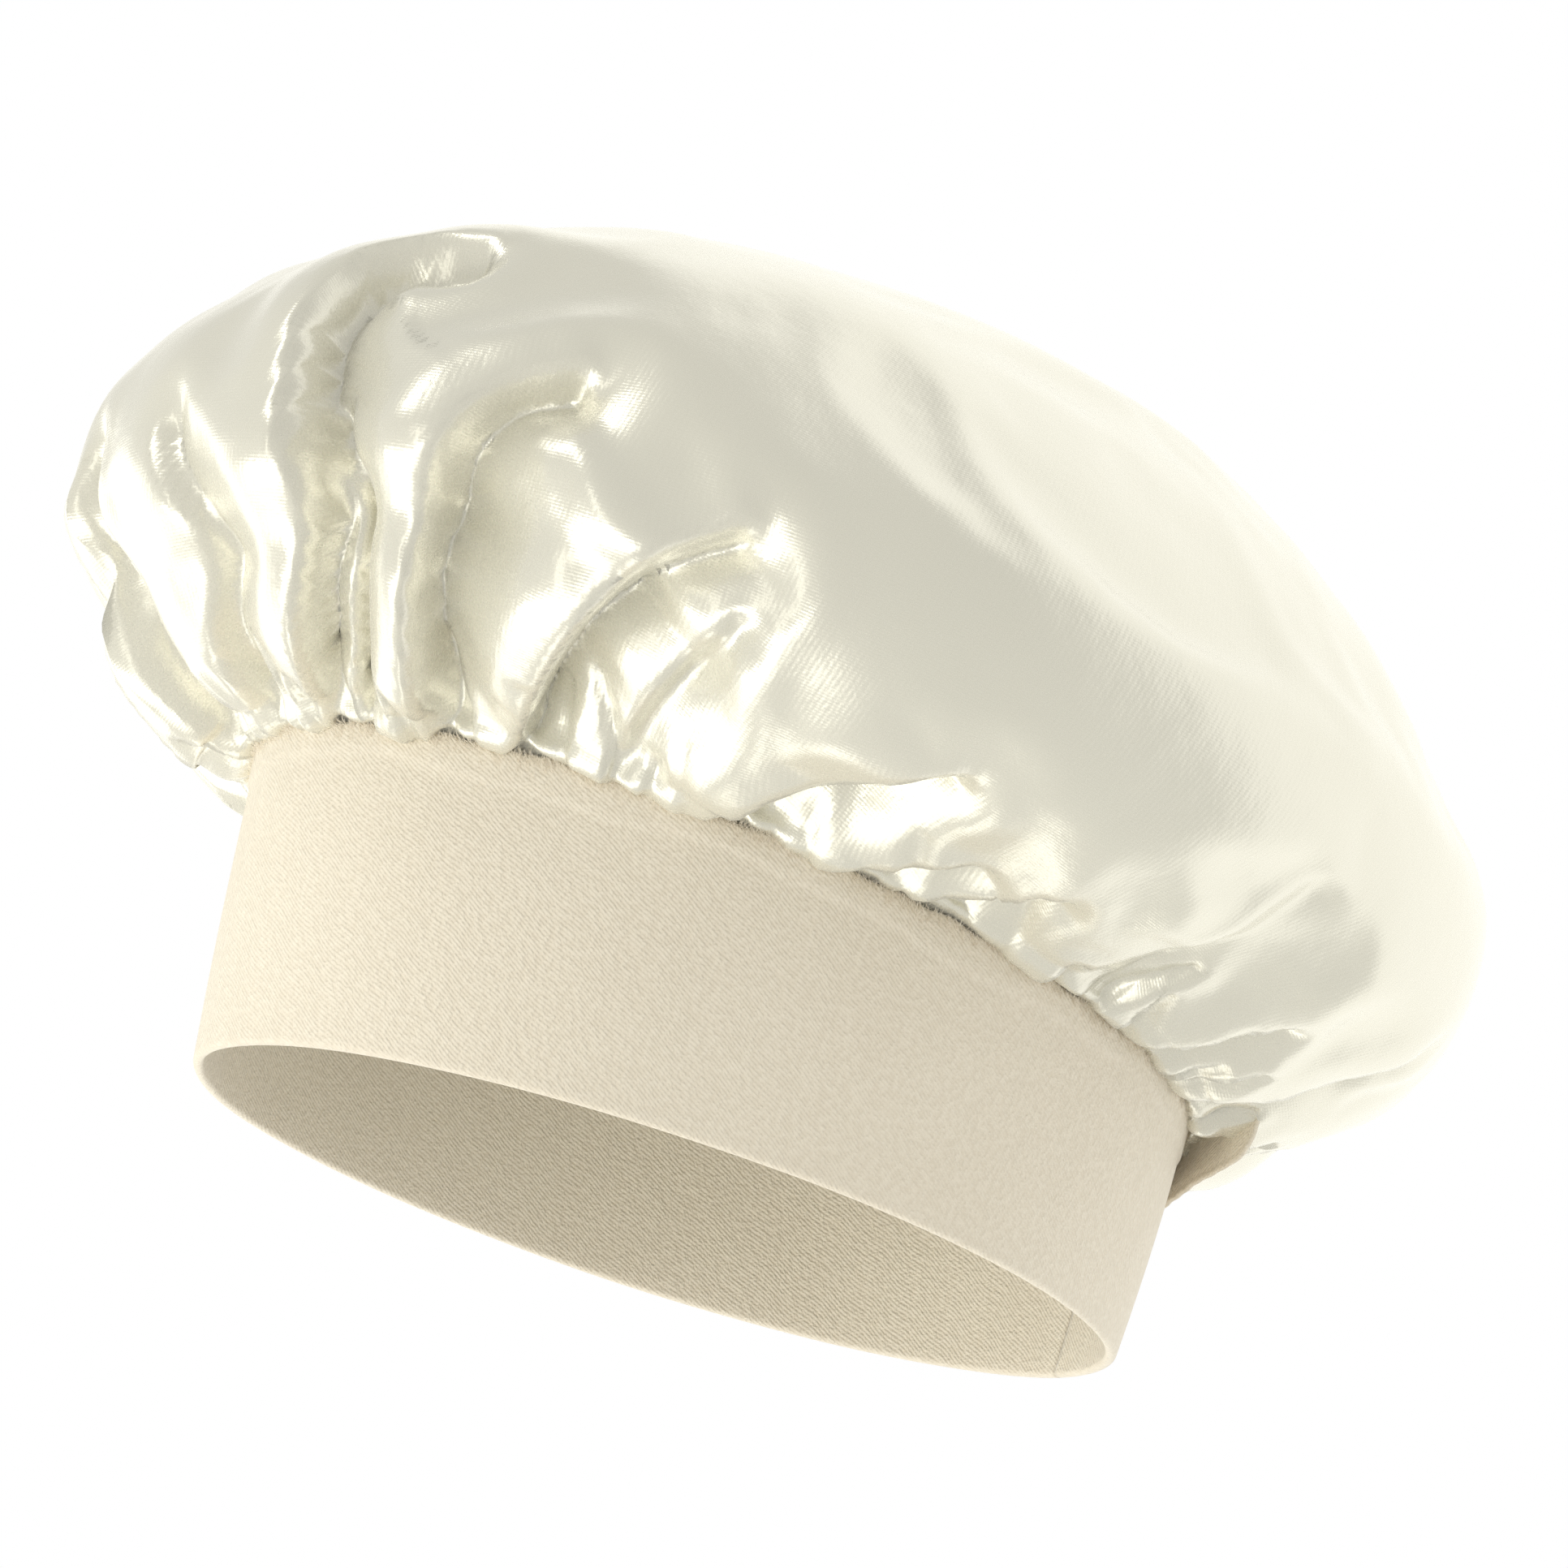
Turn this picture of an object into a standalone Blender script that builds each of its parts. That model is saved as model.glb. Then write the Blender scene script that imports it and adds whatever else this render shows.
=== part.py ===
"""Chef toque: a gathered satin crown sewn to a folded cloth band that a hook-and-loop tab closes.

Metres, +Z up. The band's lower edge lies on Z = 0, the wearer's forehead is at -Y,
and the closure is at the back, on the +Y side.
"""

import math

import bmesh
import bpy
from mathutils import Matrix, Vector

# --- The head and the band ---
HEAD_GIRTH = 0.577  # round the inside of the band at its lower edge
ROUNDNESS = 0.845  # inner width of the ring over its inner length
BAND_HEIGHT = 0.0575  # at the temples
HEIGHT_CHANGE = 0.007  # taller than that at the front, shorter at the back
FLARE = 0.038  # how much wider the ring is at the seam
FLARE_SHIFT = -0.0027  # and how far its centre moves along Y
BAND_CENTRE_Y = 0.0035  # puts the middle of the whole hat on Z
SLIT = 0.0012  # between the two ends of the band, which meet at the back

# --- Cloth and thread ---
GAP = 0.0003  # air between touching pieces
BAND_CLOTH = 0.0006
INTERFACING = 0.0005
FOLD_ROUND = 0.0006  # rounding of the band's lower fold
SATIN = 0.001
THREAD = 0.0004  # diameter
PATCH = 0.0008
PILE = 0.0011  # air between the faces of the hook patch and the loop patch
TAB_CLOTH = 0.001

POCKET_START = BAND_CLOTH
INTERFACING_START = POCKET_START + GAP
POCKET_END = INTERFACING_START + INTERFACING + GAP
BAND_THICKNESS = POCKET_END + BAND_CLOTH

# --- The crown ---
ALLOWANCE = 0.008  # the crown's edge, turned down inside the band
ALLOWANCE_DEPTH = BAND_THICKNESS + GAP
OVERHANG_FRONT = 0.041  # the widest line stands this far outside the band
OVERHANG_BACK = 0.047
OVERHANG_SIDE = 0.0055  # and this much more at the sides
WIDEST_FRONT = 0.115
WIDEST_BACK = 0.105
UNDERSIDE_FRONT = 0.073
UNDERSIDE_BACK = 0.070
TOP = 0.193
CROWN_SHIFT = -0.0099  # the dome leans towards the forehead
SHOULDER = 1.93  # exponent of the dome: 2 is an ellipse
PLEATS = 24
PLEAT_SAMPLES = 4
PLEAT_DEPTH = 0.0026
ALLOWANCE_PLEAT = 0.0009

# --- The closure, laid along the back of the band ---
TAB_WIDTH = 0.015
TAB_LENGTH = 0.077
TAB_ROOT_ANGLE = math.radians(104)
TAB_ROOT_HEIGHT = 0.038  # middle of the tab where it is sewn on
TAB_RISE = 0.2  # climbs this much for each metre along the band
TAB_LEAVES = 0.041  # from the root to where the grip end leaves the band
GRIP_TURN = math.radians(14)  # how far the grip end bends outwards
PATCH_LENGTH = 0.024
PATCH_WIDTH = 0.011
PATCH_START = 0.016  # from the root
HINGE_FLAT = 0.003  # of the tab lies flat at the root, and again before the patch
SEWN_GAP = 0.0004  # from the band to the tab's root
LOOP_OFFSET = GAP
HOOK_OFFSET = LOOP_OFFSET + PATCH + PILE
TAB_OFFSET = HOOK_OFFSET + PATCH + GAP

# --- Stitches ---
GATHER_DROP = 0.0041  # below the seam, on the inner face of the crown's edge
SEAM_DROP = 0.0018
OVERLOCK_REACH = 0.003
SEAM_STITCHES = 48
OVERLOCK_STITCHES = 64
STITCH_INSET = 0.0018  # from a patch's edge to its stitches
ROOT_STITCH_LENGTH = 0.009

RING_STEPS = 96
TAB_STEPS = 28

HALF_LENGTH = HEAD_GIRTH / (
    math.pi * (3 * (1 + ROUNDNESS) - math.sqrt((3 * ROUNDNESS + 1) * (ROUNDNESS + 3)))
)
OUTER_LENGTH = HALF_LENGTH + BAND_THICKNESS
OUTER_WIDTH = HALF_LENGTH * ROUNDNESS + BAND_THICKNESS
SLIT_HALF_ANGLE = SLIT / 2 / OUTER_LENGTH
BACK = math.pi / 2


def clear_scene():
    for item in list(bpy.data.objects):
        bpy.data.objects.remove(item, do_unlink=True)


def collection(name):
    made = bpy.data.collections.new(name)
    bpy.context.scene.collection.children.link(made)
    return made


def material(name, colour, roughness, sheen=0.0):
    made = bpy.data.materials.new(name)
    made.use_nodes = True
    shader = made.node_tree.nodes["Principled BSDF"]
    shader.inputs["Base Color"].default_value = (*colour, 1)
    shader.inputs["Roughness"].default_value = roughness
    shader.inputs["Metallic"].default_value = 0
    shader.inputs["Sheen Weight"].default_value = sheen
    return made


# --- Where things lie on the band ---


def band_height(angle):
    """The seam's height above the lower edge: the front of the band is the tallest."""
    return BAND_HEIGHT - HEIGHT_CHANGE * math.sin(angle)


def on_band(angle, outwards, height):
    """A point this far outside the band's outer face (inside it when negative)."""
    lean = height / BAND_HEIGHT
    spread = 1 + FLARE * lean
    x = (OUTER_WIDTH * spread + outwards) * math.cos(angle)
    y = (OUTER_LENGTH * spread + outwards) * math.sin(angle)
    return Vector((x, y + FLARE_SHIFT * lean + BAND_CENTRE_Y, height))


def ring_angles(start, end, steps):
    return [start + (end - start) * i / steps for i in range(steps + 1)]


def band_angles(trim):
    """Angles round the band from one end to the other, where the two meet at the back."""
    edge = SLIT_HALF_ANGLE + trim / OUTER_LENGTH
    return ring_angles(BACK + edge, BACK + 2 * math.pi - edge, RING_STEPS)


# --- Meshes ---


def link(name, mesh, finish, group):
    made = bpy.data.objects.new(name, mesh)
    mesh.materials.append(finish)
    group.objects.link(made)
    return made


def loft(name, sections, finish, group):
    """A solid through a row of sections that have the same number of points, with both ends closed."""
    shape = bmesh.new()
    rings = [[shape.verts.new(point) for point in section] for section in sections]
    count = len(rings[0])
    for ring, following in zip(rings, rings[1:]):
        for i in range(count):
            j = (i + 1) % count
            shape.faces.new((ring[i], ring[j], following[j], following[i]))
    shape.faces.new(rings[0])
    shape.faces.new(rings[-1])
    bmesh.ops.recalc_face_normals(shape, faces=shape.faces)
    mesh = bpy.data.meshes.new(name)
    shape.to_mesh(mesh)
    shape.free()
    return link(name, mesh, finish, group)


def thread(name, points, finish, group, closed=False):
    """A thread along a row of points."""
    curve = bpy.data.curves.new(name, "CURVE")
    curve.dimensions = "3D"
    curve.bevel_depth = THREAD / 2
    curve.bevel_resolution = 2
    curve.use_fill_caps = not closed
    line = curve.splines.new("POLY")
    line.points.add(len(points) - 1)
    for spot, point in zip(line.points, points):
        spot.co = (*point, 1)
    line.use_cyclic_u = closed
    return link(name, curve, finish, group)


# --- The band ---


def band_section(angle, outline):
    """A closed outline of (depth from the outer face, height) points, set up at this angle."""
    return [on_band(angle, -depth, height) for depth, height in outline]


def make_band(cloth, group, cutters):
    """One strip folded at the lower edge; the pocket between its walls is open at the seam."""
    sections = []
    for angle in band_angles(0):
        top = band_height(angle)
        outline = [
            (0, top),
            (0, FOLD_ROUND),
            (FOLD_ROUND * 0.3, FOLD_ROUND * 0.3),
            (FOLD_ROUND, 0),
            (BAND_THICKNESS - FOLD_ROUND, 0),
            (BAND_THICKNESS - FOLD_ROUND * 0.3, FOLD_ROUND * 0.3),
            (BAND_THICKNESS, FOLD_ROUND),
            (BAND_THICKNESS, top),
        ]
        sections.append(band_section(angle, outline))
    band = loft("band", sections, cloth, group)
    pocket = []
    for angle in band_angles(BAND_CLOTH * 2):
        above = band_height(angle) + 0.002
        outline = [
            (POCKET_START, above),
            (POCKET_START, BAND_CLOTH),
            (POCKET_END, BAND_CLOTH),
            (POCKET_END, above),
        ]
        pocket.append(band_section(angle, outline))
    cutter = loft("band_pocket_cutter", pocket, cloth, cutters)
    cutter.hide_render = True
    cutter.display_type = "WIRE"
    cut = band.modifiers.new("pocket", "BOOLEAN")
    cut.operation = "DIFFERENCE"
    cut.solver = "EXACT"
    cut.object = cutter


def make_interfacing(finish, group):
    """The stiff strip inside the fold, which keeps the band upright."""
    outer = INTERFACING_START
    inner = INTERFACING_START + INTERFACING
    sections = []
    for angle in band_angles(BAND_CLOTH * 2 + 0.001):
        top = band_height(angle) - 0.001
        bottom = BAND_CLOTH + GAP
        outline = [(outer, top), (outer, bottom), (inner, bottom), (inner, top)]
        sections.append(band_section(angle, outline))
    loft("band_interfacing", sections, finish, group)


def make_end_stitching(name, side, finish, group):
    """Stitches that close the turned-in end of the band, on its outer face."""
    angle = BACK + side * (SLIT_HALF_ANGLE + 0.0035 / OUTER_LENGTH)
    stitches = 12
    low = 0.004
    high = TAB_ROOT_HEIGHT - TAB_WIDTH / 2 - 0.004
    points = []
    for i in range(stitches + 1):
        height = low + (high - low) * i / stitches
        outwards = GAP + THREAD / 2 + (THREAD / 2 if i % 2 else 0)
        points.append(on_band(angle, outwards, height))
    thread(name, points, finish, group)


# --- The crown ---


def blend(front, back, angle):
    """From the value at the forehead to the value at the back of the head."""
    share = (1 + math.sin(angle)) / 2
    return front + (back - front) * share


def bezier(points, t):
    a, b, c, d = points
    u = 1 - t
    return a * u**3 + 3 * b * u * u * t + 3 * c * u * t * t + d * t**3


def crown_profile(angle):
    """(distance outside the band, height, scale about the centre, pleat depth), from edge to apex."""
    seam = band_height(angle)
    widest = blend(WIDEST_FRONT, WIDEST_BACK, angle)
    underside = blend(UNDERSIDE_FRONT, UNDERSIDE_BACK, angle)
    overhang = blend(OVERHANG_FRONT, OVERHANG_BACK, angle) + OVERHANG_SIDE * math.cos(angle) ** 2
    profile = []
    for drop in (ALLOWANCE, ALLOWANCE / 2, 0):
        profile.append((-ALLOWANCE_DEPTH, seam - drop, 1, -ALLOWANCE_PLEAT))
    reach = (-ALLOWANCE_DEPTH, -ALLOWANCE_DEPTH + 0.006, overhang, overhang)
    climb = (seam + 2 * GAP, underside, underside + 0.15 * (widest - underside), widest)
    for t in (0.1, 0.2, 0.32, 0.45, 0.6, 0.8):
        depth = PLEAT_DEPTH * math.sin(math.pi * min(1.3 * t, 1)) + 0.0006 * t
        profile.append((bezier(reach, t), bezier(climb, t), 1, depth))
    for step in range(0, 9):
        turn = step / 9 * math.pi / 2
        scale = math.cos(turn) ** (2 / SHOULDER)
        height = widest + (TOP - widest) * math.sin(turn) ** (2 / SHOULDER)
        profile.append((overhang, height, scale, 0.0006 * math.cos(turn)))
    return profile


def crown_point(angle, outwards, height, scale, depth):
    seam = band_height(angle)
    lean = min(max((height - seam) / (TOP - seam), 0), 1)
    shift = CROWN_SHIFT * lean * lean * (3 - 2 * lean)
    fold = (1 - math.cos(PLEATS * angle)) / 2 * depth
    point = on_band(angle, outwards + fold, min(height, seam))
    return Vector((point.x * scale, (point.y - BAND_CENTRE_Y) * scale + BAND_CENTRE_Y + shift, height))


def make_crown(finish, group):
    """One round panel, its edge gathered and turned down inside the band."""
    around = PLEATS * PLEAT_SAMPLES
    shape = bmesh.new()
    columns = []
    for i in range(around):
        angle = 2 * math.pi * i / around
        profile = crown_profile(angle)
        columns.append([shape.verts.new(crown_point(angle, *row)) for row in profile])
    apex = shape.verts.new((0, BAND_CENTRE_Y + CROWN_SHIFT, TOP))
    for column, following in zip(columns, columns[1:] + columns[:1]):
        for low in range(len(column) - 1):
            high = low + 1
            shape.faces.new((column[low], following[low], following[high], column[high]))
        shape.faces.new((column[-1], following[-1], apex))
    bmesh.ops.recalc_face_normals(shape, faces=shape.faces)
    mesh = bpy.data.meshes.new("crown")
    shape.to_mesh(mesh)
    shape.free()
    crown = link("crown", mesh, finish, group)
    wall = crown.modifiers.new("satin", "SOLIDIFY")
    wall.thickness = SATIN
    wall.offset = -1
    for face in mesh.polygons:
        face.use_smooth = True


# --- Threads round the seam ---


def edge_face(angle, drop):
    """A point on the head side of the crown's turned-down edge, this far below the seam."""
    fold = (1 - math.cos(PLEATS * angle)) / 2 * ALLOWANCE_PLEAT
    inwards = ALLOWANCE_DEPTH + fold + SATIN + GAP + THREAD
    return on_band(angle, -inwards, band_height(angle) - drop)


def make_round_thread(name, drops, steps, finish, group):
    """A closed thread round the crown's edge that steps through these distances below the seam."""
    points = []
    for i in range(steps):
        angle = 2 * math.pi * i / steps
        points.append(edge_face(angle, drops[i % len(drops)]))
    thread(name, points, finish, group, closed=True)


# --- The closure tab and its patches ---


def tab_line(distance):
    """Where the tab's root line runs: a point on the band's outer face and the outward direction."""
    angle = TAB_ROOT_ANGLE
    height = TAB_ROOT_HEIGHT + TAB_RISE * min(distance, TAB_LEAVES)
    steps = 40
    for _ in range(steps):
        step = min(distance, TAB_LEAVES) / steps
        along = (on_band(angle - 1e-4, 0, height) - on_band(angle, 0, height)).length / 1e-4
        angle -= step / along
    here = on_band(angle, 0, height)
    ahead = (on_band(angle - 1e-4, 0, height) - here).normalized()
    out = Vector((-ahead.y, ahead.x, 0))
    free = max(distance - TAB_LEAVES, 0)
    bend = GRIP_TURN * free / (TAB_LENGTH - TAB_LEAVES)
    if free:
        halfway = Matrix.Rotation(bend / 2, 3, "Z") @ ahead
        here = here + halfway * free
        out = Matrix.Rotation(bend, 3, "Z") @ out
    return Vector((here.x, here.y, TAB_ROOT_HEIGHT + TAB_RISE * distance)), out


def tab_point(distance, across, outwards):
    here, out = tab_line(distance)
    return here + out * outwards + Vector((0, 0, across))


def tab_lift(distance):
    """The tab lies on the band at its root and rides over the patches farther along."""
    share = min(max((distance - HINGE_FLAT) / (PATCH_START - 2 * HINGE_FLAT), 0), 1)
    return SEWN_GAP + (TAB_OFFSET - SEWN_GAP) * share * share * (3 - 2 * share)


def half_width(distance, length, width, corner):
    """Half the width of a strip whose far end is rounded."""
    past = distance - (length - corner)
    if past <= 0:
        return width / 2
    return width / 2 - corner + math.sqrt(max(corner * corner - past * past, 0))


def make_tab(finish, group):
    corner = TAB_WIDTH * 0.42
    straight = [(TAB_LENGTH - corner) * i / TAB_STEPS for i in range(TAB_STEPS + 1)]
    rounded = [TAB_LENGTH - corner + corner * math.sin(math.radians(a)) for a in (18, 36, 54, 72, 90)]
    sections = []
    for distance in straight + rounded:
        low = tab_lift(distance)
        high = low + TAB_CLOTH
        half = half_width(distance, TAB_LENGTH, TAB_WIDTH, corner)
        corners = [(-half, low), (half, low), (half, high), (-half, high)]
        sections.append([tab_point(distance, across, out) for across, out in corners])
    loft("closure_tab", sections, finish, group)


def make_patch(name, offset, finish, group):
    """A rectangle of hook or loop tape that follows the band."""
    half = PATCH_WIDTH / 2
    sections = []
    for i in range(11):
        distance = PATCH_START + PATCH_LENGTH * i / 10
        low = offset
        high = offset + PATCH
        corners = [(-half, low), (half, low), (half, high), (-half, high)]
        sections.append([tab_point(distance, across, out) for across, out in corners])
    loft(name, sections, finish, group)


def make_box_stitching(name, start, length, width, lift, finish, group):
    """A closed rectangle of stitches on a face that stands this far outside the band."""
    along = [start + length * i / 8 for i in range(9)]
    half = width / 2
    rise = GAP + THREAD / 2
    lower = [tab_point(d, -half, lift(d) + rise) for d in along]
    upper = [tab_point(d, half, lift(d) + rise) for d in reversed(along)]
    thread(name, lower + upper, finish, group, closed=True)


def make_closure(group, satin_thread, cloth, tape):
    def loop_face(_):
        return LOOP_OFFSET + PATCH

    def tab_face(distance):
        return tab_lift(distance) + TAB_CLOTH

    inner_length = PATCH_LENGTH - 2 * STITCH_INSET
    inner_width = PATCH_WIDTH - 2 * STITCH_INSET
    inner_start = PATCH_START + STITCH_INSET
    make_patch("loop_patch", LOOP_OFFSET, tape, group)
    make_patch("hook_patch", HOOK_OFFSET, tape, group)
    make_tab(cloth, group)
    make_box_stitching("loop_patch_stitching", inner_start, inner_length, inner_width,
                       loop_face, satin_thread, group)
    make_box_stitching("hook_patch_stitching", inner_start, inner_length, inner_width,
                       tab_face, satin_thread, group)
    make_box_stitching("tab_root_stitching", STITCH_INSET, ROOT_STITCH_LENGTH,
                       TAB_WIDTH - 2 * STITCH_INSET, tab_face, satin_thread, group)


def hinge_tab(group):
    """Parent what peels away to an empty on the line where the tab is sewn to the band."""
    axis = bpy.data.objects.new("tab_hinge", None)
    here, out = tab_line(0)
    axis.location = here + out * (SEWN_GAP + TAB_CLOTH / 2)
    group.objects.link(axis)
    bpy.context.view_layer.update()
    for name in ("closure_tab", "hook_patch", "hook_patch_stitching", "tab_root_stitching"):
        piece = bpy.data.objects[name]
        piece.parent = axis
        piece.matrix_parent_inverse = axis.matrix_world.inverted()
    spot = axis.location
    print(f"tab hinge at {spot.x:.5f}, {spot.y:.5f}, {spot.z:.5f}")


def main():
    clear_scene()
    group = collection("chef_toque")
    cutters = collection("cutters")
    ivory_satin = material("ivory_satin", (0.86, 0.84, 0.75), 0.32, sheen=0.2)
    cream_twill = material("cream_twill", (0.78, 0.72, 0.60), 0.85)
    interfacing = material("interfacing", (0.88, 0.88, 0.86), 0.9)
    tape = material("hook_and_loop_tape", (0.80, 0.76, 0.66), 0.95)
    thread_finish = material("cream_thread", (0.82, 0.79, 0.68), 0.6)
    make_band(cream_twill, group, cutters)
    make_interfacing(interfacing, group)
    make_end_stitching("left_end_stitching", 1, thread_finish, group)
    make_end_stitching("right_end_stitching", -1, thread_finish, group)
    make_crown(ivory_satin, group)
    make_round_thread("crown_seam_thread", (SEAM_DROP, SEAM_DROP + THREAD), 2 * SEAM_STITCHES,
                      thread_finish, group)
    make_round_thread("gathering_thread", (GATHER_DROP, GATHER_DROP - THREAD), 2 * SEAM_STITCHES,
                      thread_finish, group)
    make_round_thread("overlock_thread", (ALLOWANCE + THREAD, ALLOWANCE + THREAD - OVERLOCK_REACH),
                      2 * OVERLOCK_STITCHES, thread_finish, group)
    make_closure(group, thread_finish, cream_twill, tape)
    hinge_tab(group)


main()
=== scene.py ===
"""Looks of the chef toque: satin crown, twill band, closure and seam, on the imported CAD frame."""

import math

import bpy
import numpy as np
from mathutils import Matrix, Vector


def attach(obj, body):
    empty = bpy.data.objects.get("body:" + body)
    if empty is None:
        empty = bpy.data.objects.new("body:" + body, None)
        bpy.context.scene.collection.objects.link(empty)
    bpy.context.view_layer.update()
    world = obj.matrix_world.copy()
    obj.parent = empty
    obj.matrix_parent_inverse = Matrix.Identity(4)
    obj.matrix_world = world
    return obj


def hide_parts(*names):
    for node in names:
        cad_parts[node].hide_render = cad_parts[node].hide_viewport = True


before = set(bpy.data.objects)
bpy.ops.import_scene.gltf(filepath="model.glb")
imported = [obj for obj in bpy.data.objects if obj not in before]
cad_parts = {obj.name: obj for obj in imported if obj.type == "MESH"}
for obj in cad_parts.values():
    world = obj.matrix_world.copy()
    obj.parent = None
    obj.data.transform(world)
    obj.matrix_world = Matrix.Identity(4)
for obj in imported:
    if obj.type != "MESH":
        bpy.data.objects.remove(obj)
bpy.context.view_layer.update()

# --- The band, as the CAD model has it (metres) ---
BAND_CENTRE_Y = 0.0035
OUTER_WIDTH = 0.08627  # half the ring's width and length at the lower edge
OUTER_LENGTH = 0.10167
BAND_HEIGHT = 0.0575
HEIGHT_CHANGE = 0.007  # taller by this much at the front, and lower at the back
FLARE = 0.038  # the ring grows by this share up to its top
FLARE_SHIFT = -0.0027  # and moves forward by this much
BAND_THICKNESS = 0.0023
BAND_CLOTH = 0.0006
FOLD_RADIUS = 0.0011  # of the lower fold
FOLD_INSIDE = 0.0008  # height of the cloth's inner face in that fold
BAND_TOP_TUCK = 0.0006  # the crown hides the band's top edge
BAND_LIP = 0.0013  # but the outer layer's edge stands up in front of the gathers
EDGE_PULL = 0.00035  # how far the gathers pull the band's top edge up and down
SLIT_HALF_ANGLE = 0.00008 / OUTER_LENGTH
BAND_COLUMNS = 361
BAND_ROWS = 72
# Waves in the band's cloth: (height, waves round the band, phase, and radians per metre up it).
BAND_WAVES = ((0.00028, 5, 0.7, 30), (0.00018, 11, 2.1, -45))
BAND_BOW = 0.0005
EDGE_RIDGE = 0.00045  # the band stands out this far over the crown's turned edge inside it
EDGE_RIDGE_REACH = 0.0058  # below the seam, give or take these waves: (height, waves, phase)
EDGE_RIDGE_WAVES = ((0.0008, 7, 1.0), (0.0005, 17, 0.0))
EDGE_RIDGE_FADE = (-0.0005, 0.0007)  # the ridge fades out between these, below its reach
FUZZ_FIBRES = 11000
FUZZ_WIDTH = 0.00007
FUZZ_DEPTH = 0.0016  # spread of the fibres' feet below the band's top edge
FUZZ_LENGTH = (0.0008, 0.0024)
FUZZ_GAP = 0.0001
BACK = math.pi / 2

# --- The closure tab, as in the CAD model ---
TAB_WIDTH = 0.015
TAB_LENGTH = 0.077
TAB_ROOT_ANGLE = math.radians(104)
TAB_ROOT_HEIGHT = 0.038
TAB_RISE = 0.2  # how much it climbs, against its length
TAB_LEAVES = 0.041  # distance along the tab where its grip starts to leave the band
GRIP_TURN = math.radians(14)
PATCH_START = 0.016
HINGE_FLAT = 0.003  # length at the root that stays sewn down
SEWN_GAP = 0.0004
TAB_OFFSET = 0.0033  # over both patches
TAB_CLOTH = 0.001
TAB_GROOVE = 0.0018  # from the tab's edge to the line of stitches along it
TAB_GROOVE_DEPTH = 0.00022
TAB_GROOVE_WIDTH = 0.0005
TAB_CORNER = TAB_WIDTH * 0.42  # radius of the far end's corners
TAB_RIPPLES = ((0.00012, 420), (0.00010, 1130))  # height, and turns per metre in radians
TAB_STEPS = 40  # small steps that walk along the band to a point of the tab
TINY_TURN = 1e-4  # radians, to find the way along the band

# --- The crown ---
OVERHANG_FRONT = 0.044  # how far its widest ring stands out from the band
OVERHANG_BACK = 0.048
OVERHANG_SIDE = 0.0045  # and this much more at the sides
WIDEST_FRONT = 0.115  # height of the widest ring
WIDEST_BACK = 0.105
UNDERSIDE_FRONT = 0.071  # height that the underside's curve is drawn towards
UNDERSIDE_BACK = 0.053
UNDERSIDE_START = 0.3  # how far out its curve first heads, against the overhang
UNDERSIDE_LIFT = 0.15  # how much it is drawn up towards the widest ring
TOP = 0.193
CROWN_SHIFT = -0.0099  # the dome leans forward by this much
SHOULDER = 1.93  # roundness of the dome: 2 is an ellipse
UNDERSIDE_SHARE = 0.3  # of the way from the seam to the apex lies under the overhang
SEAM_DIP = 0.0016  # just outside the seam the cloth hangs this far down over the band's top edge
SEAM_DIP_REACH = 0.007
ALLOWANCE = 0.008  # the crown's edge, turned down inside the band
EDGE_GAP = 0.0004  # between that edge and the band
EDGE_SHARE = -0.002  # where the turned edge counts as lying, up the cloth from the seam
APEX_LIFT = 0.00002
CLOTH_RADIUS = 0.12  # turns angles round the crown into metres of cloth

# --- The camera: the photograph looks up at the hat from its left ---
VIEW_AZIMUTH = math.radians(65)
VIEW_ELEVATION = math.radians(-14.74)
VIEW_ROLL = math.radians(16.77)
VIEW_DISTANCE = 1.3
AIM_RIGHT = 0.0264  # from the band's centre to the middle of the picture
AIM_UP = 0.0888
FOCAL_LENGTH = 145.6
SENSOR = 36.0

# --- Light ---
LIGHT_DISTANCE = 1.2
LIT_POINT = (0, 0, 0.1)
LIGHT_COLOUR = (1.0, 0.985, 0.90)
ROOM_COLOUR = (1.0, 0.99, 0.945)
ROOM_DARK = 0.665  # brightness of the room round the soft boxes
ROOM_BRIGHT = 1.32  # and on its bright side
BRIGHT_SIDE = (0.75, -0.05, -0.66)  # right, up and back of the camera
ROOM_TURNS = (0.27, 0.56)  # cosines of the angles where the bright side begins and is full
SOFT_BOXES = (
    # name, direction (right, up and back of the camera), width and height, brightness
    ("key", (-0.78, -0.50, 0.40), (1.9, 0.50), 1.7),
    ("line", (-0.82, -0.27, 0.50), (1.8, 0.09), 6.0),
    ("low", (-0.25, -0.92, -0.15), (0.9, 0.4), 1.6),
    ("rim", (-0.76, -0.16, -0.63), (0.8, 0.9), 1.25),
    ("upper", (-0.60, 0.76, 0.10), (0.22, 0.40), 5.0),
    ("crest", (-0.72, 0.12, 0.68), (0.14, 0.75), 1.9),
)

# --- Cloth colours and gloss ---
SATIN_DARK = (0.79, 0.772, 0.675)
SATIN_LIGHT = (0.875, 0.855, 0.757)
SATIN_ROUGHNESS = (0.23, 0.31)
SATIN_METAL = 0.42
TWILL_DARK = (0.78, 0.70, 0.57)
TWILL_LIGHT = (0.93, 0.865, 0.74)
THREAD_DARK = (0.66, 0.62, 0.51)
THREAD_LIGHT = (0.86, 0.83, 0.73)
TAPE_DARK = (0.50, 0.46, 0.38)
TAPE_LIGHT = (0.80, 0.76, 0.66)
INTERFACING_DARK = (0.74, 0.74, 0.71)
INTERFACING_LIGHT = (0.92, 0.92, 0.90)
FLOOR_DARK = (0.90, 0.90, 0.89)
FLOOR_LIGHT = (0.94, 0.94, 0.93)

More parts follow.
